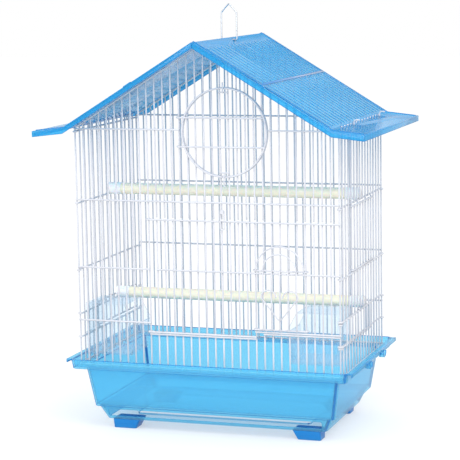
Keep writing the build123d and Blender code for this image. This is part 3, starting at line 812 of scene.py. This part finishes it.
@dataclass
class Hatch:
    """The round hatch: its fixed seat, its moving ring with two hinge wires, and its tabs."""

    rail_r: float = 1.1 * MM
    hinge_rise: float = 17.6 * MM
    steps: int = 96

    def build(self) -> None:
        """Build both rings and the hinge wires with their eyes."""
        low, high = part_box("hatch_seat_ring")
        radius = (high.x - low.x) / 2 - self.rail_r
        seat = (low + high) / 2
        fixed = Solids()
        fixed.tube(self._circle(seat, radius), self.rail_r, closed=True)
        fixed.piece("hatch_seat_ring_wire", Body.CAGE, Slot.WIRE, ["hatch_seat_ring"])
        centre = Vector((seat.x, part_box("hatch_ring")[0].y + self.rail_r, seat.z))
        moving = Solids()
        moving.tube(self._circle(centre, radius), self.rail_r, closed=True)
        post = Vector(next(j for j in frame["joints"] if j["name"] == "hatch_hinge")["pos_m"])
        for rise in (-self.hinge_rise, self.hinge_rise):
            moving.tube(self._hinge_wire(post, centre, radius, rise), self.rail_r)
        moving.piece("hatch_ring_wires", Body.HATCH, Slot.WIRE, ["hatch_ring"])

    def _circle(self, centre: Vector, radius: float) -> list[Vector]:
        """Give the points of a ring that faces the front, from its middle and radius."""
        return [centre + Vector((math.cos(t), 0, math.sin(t))) * radius
                for t in np.linspace(0, 2 * math.pi, self.steps, endpoint=False)]

    def _hinge_wire(self, post: Vector, centre: Vector, radius: float, rise: float) -> list[Vector]:
        """Bend one hinge wire, from its curl round the post to the ring's far side.

        Args:
            post: a point on the hinge's axis.
            centre: middle of the hatch's ring.
            radius: radius of the ring, on its middle line.
            rise: height of the wire above the middle.

        Returns:
            The wire's path.
        """
        reach = centre.y - post.y
        level = centre.z + rise
        curl = [Vector((post.x - abs(reach) * math.sin(t), post.y + reach * math.cos(t), level))
                for t in np.linspace(CURL_TURN, 0, CURL_STEPS)]
        return curl + [Vector((centre.x + math.sqrt(radius ** 2 - rise ** 2), centre.y, level))]


def rounded_path(points: Sequence[Vector], radius: float, steps: int = 8) -> list[Vector]:
    """Round the corners of a bent wire's path.

    Args:
        points: its ends and corners.
        radius: bend radius on the middle line.
        steps: points in each bend.

    Returns:
        The path with its bends.
    """
    path = [points[0]]
    for before, corner, after in zip(points, points[1:], points[2:]):
        into, out = (before - corner).normalized(), (after - corner).normalized()
        half = into.angle(out) / 2
        cut = radius / math.tan(half)
        centre = corner + (into + out).normalized() * (radius / math.sin(half))
        first, last = corner + into * cut - centre, corner + out * cut - centre
        turn = first.angle(last)
        axis = first.cross(last).normalized()
        path += [centre + Matrix.Rotation(turn * i / steps, 3, axis) @ first for i in range(steps + 1)]
    return path + [points[-1]]


@dataclass
class BentWires:
    """The roof hooks, the latch link and the hanging loop."""

    hook_r: float = 1.0 * MM
    hook_bend: float = 3.0 * MM
    link_r: float = 0.8 * MM
    hanger_r: float = 1.0 * MM
    hanger_half_w: float = 10.0 * MM
    bar_half_w: float = 5.0 * MM
    shoulder: float = 34.0 * MM
    bar: float = 40.0 * MM
    tip: float = 44.99 * MM
    hanger_bend: float = 1.5 * MM
    pin_end: float = 1.0 * MM
    link_steps: int = 14

    def build(self) -> None:
        """Build the three kinds of bent wire."""
        self._hooks()
        self._link()
        self._hanger()

    def _hooks(self) -> None:
        """Bend each hook out over the eave."""
        wires = Solids()
        for island in islands("roof_hooks"):
            low, high = Vector(island.low), Vector(island.high)
            side = 1 if low.x > 0 else -1
            inner = (low.x if side > 0 else high.x) + side * self.hook_r
            outer = high.x if side > 0 else low.x
            y, top = (low.y + high.y) / 2, high.z - self.hook_r
            wires.tube(rounded_path([Vector((inner, y, low.z)), Vector((inner, y, top)),
                                     Vector((outer, y, top))], self.hook_bend), self.hook_r)
        wires.piece("roof_hook_wires", Body.CAGE, Slot.WIRE, ["roof_hooks"])

    def _link(self) -> None:
        """Bend the latch link as a long oval."""
        low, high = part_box("latch_link")
        middle = (low + high) / 2
        reach = (high.x - low.x) / 2 - self.link_r
        rise = (high.z - low.z) / 2 - self.link_r - reach
        turns = np.linspace(0, math.pi, self.link_steps)
        path = [middle + Vector((reach * math.cos(t), 0, rise + reach * math.sin(t))) for t in turns]
        path += [middle + Vector((-reach * math.cos(t), 0, -rise - reach * math.sin(t))) for t in turns]
        wires = Solids()
        wires.tube(path, self.link_r, closed=True)
        wires.piece("latch_link_wire", Body.LATCH, Slot.WIRE, ["latch_link"])

    def _hanger(self) -> None:
        """Bend the hanging loop, with its ends turned into the roof and its top drawn to a point."""
        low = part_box("hanger")[0].z + self.hanger_r
        half = self.hanger_half_w
        left = [(-self.pin_end, 0.0), (-half, 0.0), (-half, self.shoulder), (-self.bar_half_w, self.bar)]
        outline = left + [(0.0, self.tip)] + [(-x, z) for x, z in reversed(left)]
        path = rounded_path([Vector((x, 0, low + z)) for x, z in outline], self.hanger_bend)
        wires = Solids()
        wires.tube(path, self.hanger_r)
        wires.piece("hanger_wire_loop", Body.HANGER, Slot.HANGER, ["hanger"])


# Limits on a face's unit normal, which tell level, sloping, diagonal and steep faces from the rest.
LEVEL = 0.9
SLOPING = 0.2
DIAGONAL = 0.3
STEEP = 0.6


@dataclass
class Moulding:
    """A moulded piece: the CAD solid with eased edges and its plastic.

    Level faces that lie lower than clear_below belong to the thin flange, and clamp keeps the easing inside
    small faces. A corner strip is narrower than corner_w, and a face of the cross rib is narrower than rib_w
    and longer than rib_length.
    """

    node: str
    body: Body
    slot: Slot
    edge: float = 0.25 * MM
    flat: float = math.radians(0.5)
    smooth: float = math.radians(35)
    clear_below: float = 0.0
    clamp: bool = False
    corner_w: float = 2.5 * MM
    rib_w: float = 4.0 * MM
    rib_length: float = 8.0 * MM

    def build(self) -> None:
        """Weld, flatten and ease a copy of the CAD solid, and let it stand for the node."""
        mesh = bmesh.new()
        mesh.from_mesh(frame["nodes"][self.node].data)
        bmesh.ops.remove_doubles(mesh, verts=mesh.verts, dist=MERGE)
        bmesh.ops.dissolve_limit(mesh, angle_limit=self.flat, verts=mesh.verts, edges=mesh.edges)
        for face in mesh.faces:
            face.material_index = self._part_of(face)
        sharp = [e for e in mesh.edges if len(e.link_faces) == 2 and e.calc_face_angle() > self.smooth]
        if self.edge > 0:
            eased = Part.EDGE if self.slot in EDGES else Part.SHEET
            bmesh.ops.bevel(mesh, geom=sharp, offset=self.edge, segments=2, profile=0.5, affect="EDGES",
                            clamp_overlap=self.clamp, material=eased)
        data = bpy.data.meshes.new(self.node + "_moulding")
        mesh.to_mesh(data)
        mesh.free()
        data.shade_smooth()
        data.set_sharp_from_angle(angle=self.smooth)
        settle(bpy.data.objects.new(self.node + "_moulding", data), self.body, self.slot, [self.node])
        if self.slot in EDGES:
            data.materials.append(made(EDGES[self.slot]))
        if self.clear_below:
            data.materials.append(made(FLANGE))

    def _part_of(self, face: bmesh.types.BMFace) -> Part:
        """Tell the sheet from a narrow corner strip, the roof's cross rib and the thin level flange.

        Args:
            face: a face of the CAD solid, before its edges are eased.

        Returns:
            The part that the face belongs to.
        """
        if abs(face.normal.z) > LEVEL and face.calc_center_median().z < self.clear_below:
            return Part.FLANGE
        if self.slot is Slot.ROOF:
            wide, long, _ = np.ptp([tuple(vert.co) for vert in face.verts], axis=0)
            rib = wide < self.rib_w and long > self.rib_length and face.normal.z > SLOPING
            return Part.EDGE if rib else Part.SHEET
        corner = abs(abs(face.normal.x) - abs(face.normal.y)) < DIAGONAL and abs(face.normal.z) < STEEP
        narrow = 2 * face.calc_area() / face.calc_perimeter() < self.corner_w
        return Part.EDGE if corner and narrow and self.slot is Slot.TRAY else Part.SHEET


def dress(node: str, slot: Slot) -> None:
    """Give a CAD node that stays its finish.

    Args:
        node: name of the CAD node.
        slot: material slot, which also picks its finish.
    """
    data = frame["nodes"][node].data
    data.materials.clear()
    data.materials.append(made(FINISHES[slot]))
    log.info("%s keeps its solid", node)


@dataclass(frozen=True)
class Softbox:
    """A large soft lamp that faces a point of the cage."""

    name: str
    place: tuple[float, float, float]
    size: float
    power: float
    aim: tuple[float, float, float] = (0.0, 0.0, 0.25)

    def build(self) -> None:
        """Add the lamp."""
        lamp = bpy.data.lights.new(self.name, "AREA")
        lamp.shape = "SQUARE"
        lamp.size = self.size
        lamp.energy = self.power
        holder = bpy.data.objects.new(self.name, lamp)
        holder.location = self.place
        holder.rotation_mode = "QUATERNION"
        holder.rotation_quaternion = (Vector(self.aim) - Vector(self.place)).to_track_quat("-Z", "Y")
        bpy.context.scene.collection.objects.link(holder)


@dataclass
class Studio:
    """Pale floor, white surround, soft lamps and the camera."""

    floor_half: float = 9.0
    floor_colour: str = "BCBEC0"
    floor_lift: float = 0.48
    surround: float = 1.06
    focal_mm: float = 142.79
    sensor_mm: float = 36.0
    camera_place: tuple[float, float, float] = (0.7244, -2.1712, 0.5748)
    yaw: float = math.radians(18.532)
    pitch: float = math.radians(8.194)
    roll: float = math.radians(0.998)
    lamps: tuple[Softbox, ...] = (
        Softbox("key_softbox", (1.3, -1.3, 1.9), 1.3, 22.0),
        Softbox("fill_softbox", (-1.7, -1.2, 1.1), 1.4, 8.0),
        Softbox("front_softbox", (0.3, -2.3, 0.5), 1.2, 16.0, aim=(0.0, 0.0, 0.12)),
    )

    def build(self) -> None:
        """Set the stage."""
        self._floor()
        self._surround()
        for lamp in self.lamps:
            lamp.build()
        self._camera()
        bpy.context.scene.view_settings.view_transform = "Standard"

    @staticmethod
    def _seen(tree: bpy.types.NodeTree) -> bpy.types.NodeSocket:
        """Tell rays that show the background: from the camera, off a reflection or through a clear piece.

        Args:
            tree: node tree that takes the nodes.

        Returns:
            1 for such a ray, and 0 for any other.
        """
        path = add(tree, "ShaderNodeLightPath")
        direct = add(tree, "ShaderNodeMath", {0: path.outputs["Is Camera Ray"],
                                              1: path.outputs["Is Glossy Ray"]}, operation="MAXIMUM")
        seen = add(tree, "ShaderNodeMath", {0: direct.outputs[0], 1: path.outputs["Is Transmission Ray"]},
                   operation="MAXIMUM")
        return seen.outputs[0]

    def _floor(self) -> None:
        """Lay a pale sheet that reads as white and keeps the cage's shadow."""
        mesh = bpy.data.meshes.new("floor")
        half = self.floor_half
        mesh.from_pydata([(-half, -half, 0), (half, -half, 0), (half, half, 0), (-half, half, 0)], [],
                         [(0, 1, 2, 3)])
        floor = bpy.data.objects.new("floor", mesh)
        bpy.context.scene.collection.objects.link(floor)
        material, tree = blank("painted_floor")
        matt = add(tree, "ShaderNodeBsdfDiffuse", {"Color": linear(self.floor_colour)})
        lift = add(tree, "ShaderNodeMath", {0: self._seen(tree), 1: self.floor_lift}, operation="MULTIPLY")
        glow = add(tree, "ShaderNodeEmission", {"Strength": lift.outputs[0]})
        both = add(tree, "ShaderNodeAddShader", {0: matt.outputs[0], 1: glow.outputs[0]})
        add(tree, "ShaderNodeOutputMaterial", {"Surface": both.outputs[0]})
        mesh.materials.append(material)

    def _surround(self) -> None:
        """Light the cage evenly and show white behind it."""
        world = bpy.data.worlds.new("surround")
        world.use_nodes = True
        tree = world.node_tree
        tree.nodes.clear()
        light = add(tree, "ShaderNodeBackground", {"Strength": self.surround})
        white = add(tree, "ShaderNodeBackground", {"Strength": 1.0})
        for node in (light, white):
            node.inputs["Color"].default_value = (1, 1, 1, 1)
        both = add(tree, "ShaderNodeMixShader", {0: self._seen(tree), 1: light.outputs[0],
                                                 2: white.outputs[0]})
        add(tree, "ShaderNodeOutputWorld", {"Surface": both.outputs[0]})
        bpy.context.scene.world = world

    def _camera(self) -> None:
        """Stand the camera where the photograph was taken from."""
        data = bpy.data.cameras.new("camera")
        data.lens = self.focal_mm
        data.sensor_width = self.sensor_mm
        back = Vector((math.sin(self.yaw) * math.cos(self.pitch), -math.cos(self.yaw) * math.cos(self.pitch),
                       math.sin(self.pitch)))
        level = Vector((math.cos(self.yaw), math.sin(self.yaw), 0))
        up = back.cross(level)
        right = level * math.cos(self.roll) - up * math.sin(self.roll)
        top = level * math.sin(self.roll) + up * math.cos(self.roll)
        turn = Matrix((right, top, back)).transposed().to_4x4()
        camera = bpy.data.objects.new("camera", data)
        camera.matrix_world = Matrix.Translation(self.camera_place) @ turn
        bpy.context.scene.collection.objects.link(camera)
        bpy.context.scene.camera = camera


MESHES = (
    Mesh("cage", Body.CAGE, ("front_uprights", "front_rails", "front_gable_wires", "back_uprights",
                             "back_rails", "back_gable_wires", "left_uprights", "left_rails",
                             "right_uprights", "right_rails")),
    Mesh("front_door", Body.FRONT_DOOR, ("front_door_bars", "front_door_rails")),
    Mesh("lift_door", Body.LIFT_DOOR, ("lift_door_rails", "lift_door_bars")),
    Mesh("hatch", Body.HATCH, ("hatch_bars", "hatch_tabs")),
    Mesh("nest_door", Body.NEST_DOOR, ("nest_door_rails", "nest_door_bars")),
    Mesh("left_cup_door", Body.LEFT_CUP_DOOR, ("cup_door_left_rails", "cup_door_left_bars")),
    Mesh("right_cup_door", Body.RIGHT_CUP_DOOR, ("cup_door_right_rails", "cup_door_right_bars")),
)

MOULDINGS = (
    Moulding("stand_feet", Body.BASE, Slot.FOOT, edge=0.5 * MM),
    Moulding("stand_skirt", Body.BASE, Slot.TRAY, edge=0.6 * MM, clear_below=15 * MM, clamp=True),
    Moulding("tray", Body.BASE, Slot.TRAY, edge=0.6 * MM),
    Moulding("roof_left", Body.CAGE, Slot.ROOF, edge=0.35 * MM),
    Moulding("roof_right", Body.CAGE, Slot.ROOF, edge=0.35 * MM),
    Moulding("cup_left", Body.LEFT_CUP, Slot.CUP, edge=0.3 * MM, clamp=True),
    Moulding("cup_right", Body.RIGHT_CUP, Slot.CUP, edge=0.3 * MM, clamp=True),
    Moulding("perch_upper_rod", Body.CAGE, Slot.PERCH, edge=0.0),
    Moulding("perch_lower_rod", Body.CAGE, Slot.PERCH, edge=0.0),
    Moulding("perch_upper_caps", Body.CAGE, Slot.CAP, edge=0.3 * MM),
    Moulding("perch_lower_caps", Body.CAGE, Slot.CAP, edge=0.3 * MM),
)


def main() -> None:
    """Build the cage piece by piece, then the studio round it."""
    logging.basicConfig(level=logging.INFO, format="%(name)s: %(message)s")
    for group in MESHES:
        group.build()
    for moulding in MOULDINGS:
        moulding.build()
    Ornament().build()
    Hatch().build()
    BentWires().build()
    dress("latch_stud", Slot.WIRE)
    Studio().build()


if __name__ == "__main__":
    main()
